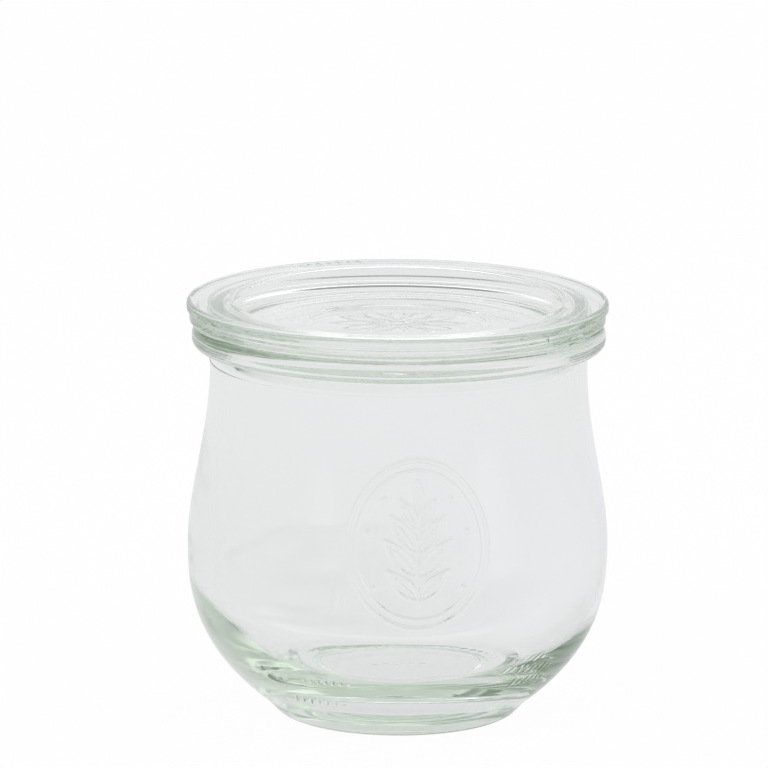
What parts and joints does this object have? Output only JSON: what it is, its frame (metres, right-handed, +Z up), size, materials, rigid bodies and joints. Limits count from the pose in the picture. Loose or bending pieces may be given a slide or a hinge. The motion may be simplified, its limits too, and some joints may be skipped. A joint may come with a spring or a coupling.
{
  "type": "glass canning jar",
  "caption": "Clear glass preserving jar of tulip form, with a round bead rim, a low foot and a loose flat glass lid with a dished centre.",
  "frame": {"origin": "centre of the ring that the jar stands on, at the surface that it rests on", "axes": "+Z up along the jar's axis of revolution, +Y away from the side that carries the raised ornament"},
  "size_m": [0.0905, 0.0902, 0.09],
  "materials": {
    "jar_glass": "clear pressed glass, faintly green",
    "lid_glass": "clear pressed glass, faintly green"
  },
  "bodies": {
    "root": {"jar": "jar_glass", "lid": "lid_glass"}
  },
  "joints": []
}
